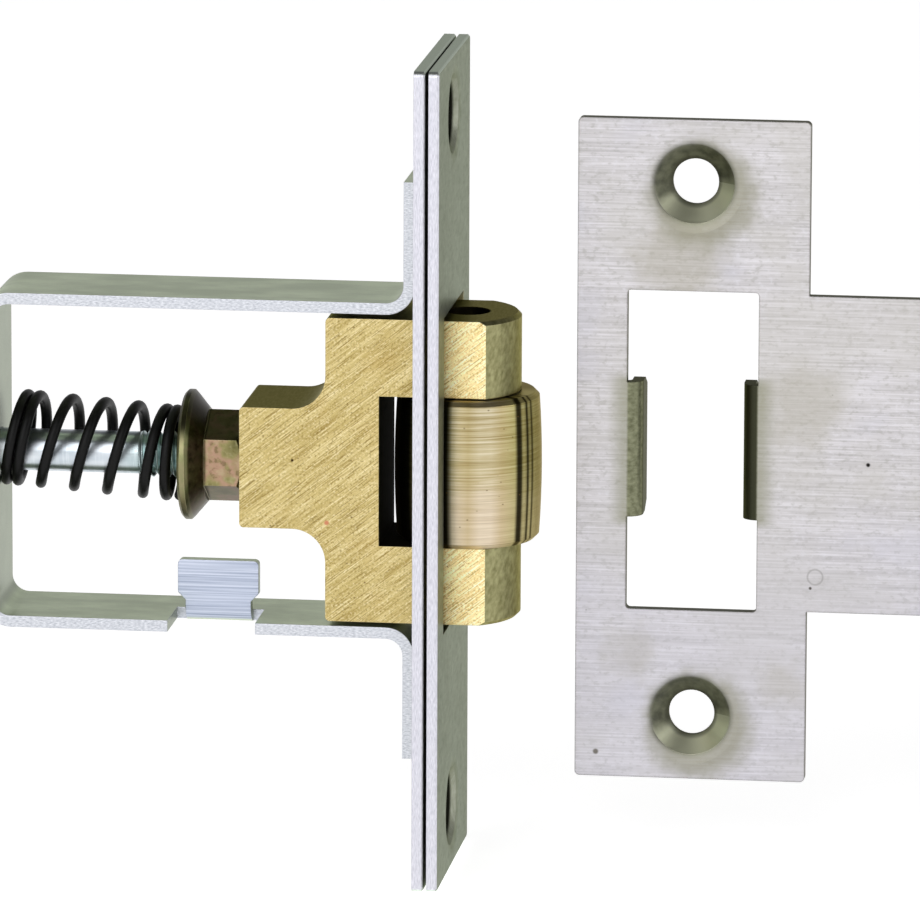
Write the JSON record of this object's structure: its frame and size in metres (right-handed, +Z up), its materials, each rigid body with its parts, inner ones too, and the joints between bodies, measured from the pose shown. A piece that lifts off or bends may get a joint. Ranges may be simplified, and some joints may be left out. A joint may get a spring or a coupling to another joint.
{
  "type": "roller catch",
  "caption": "Mortice roller catch with a sprung brass roller bolt in an open folded strap case behind a slotted forend, and its lipped strike plate.",
  "frame": {"origin": "centre of the rear face of the inner forend plate, the face that seats on the door edge, midway between the screw holes", "axes": "+X out of the door edge, the way the roller sticks out; +Z up along the forend; +Y across the door, away from the viewer"},
  "size_m": [0.1046, 0.025, 0.086],
  "materials": {
    "satin_steel": "satin plated",
    "zinc_steel": "zinc plated",
    "sawn_brass": "linished",
    "turned_brass": "satin turned",
    "bright_zinc": "bright zinc",
    "passivated_steel": "yellow passivated",
    "black_spring_steel": "black oiled",
    "satin_strike": "satin brushed"
  },
  "bodies": {
    "case": {"outer_forend": "satin_steel", "inner_forend": "satin_steel", "case_strap": "zinc_steel", "spring": "black_spring_steel", "strike_plate": "satin_strike"},
    "bolt": {"bolt_block": "sawn_brass", "roller_pin": "zinc_steel", "adjusting_spindle": "bright_zinc", "flange_nut": "passivated_steel"},
    "roller": {"roller": "turned_brass"}
  },
  "joints": [
    {"name": "bolt_slide", "type": "slide", "parent": "case", "child": "bolt", "axis": [-1, 0, 0], "range_m": [0, 0.0075], "stiffness_N_per_m": 6000, "springref_m": -0.005, "deforming": ["spring"]},
    {"name": "roller_spin", "type": "hinge", "parent": "bolt", "child": "roller", "pos_m": [0.0042, 0, 0], "axis": [0, 0, 1], "continuous": true}
  ]
}
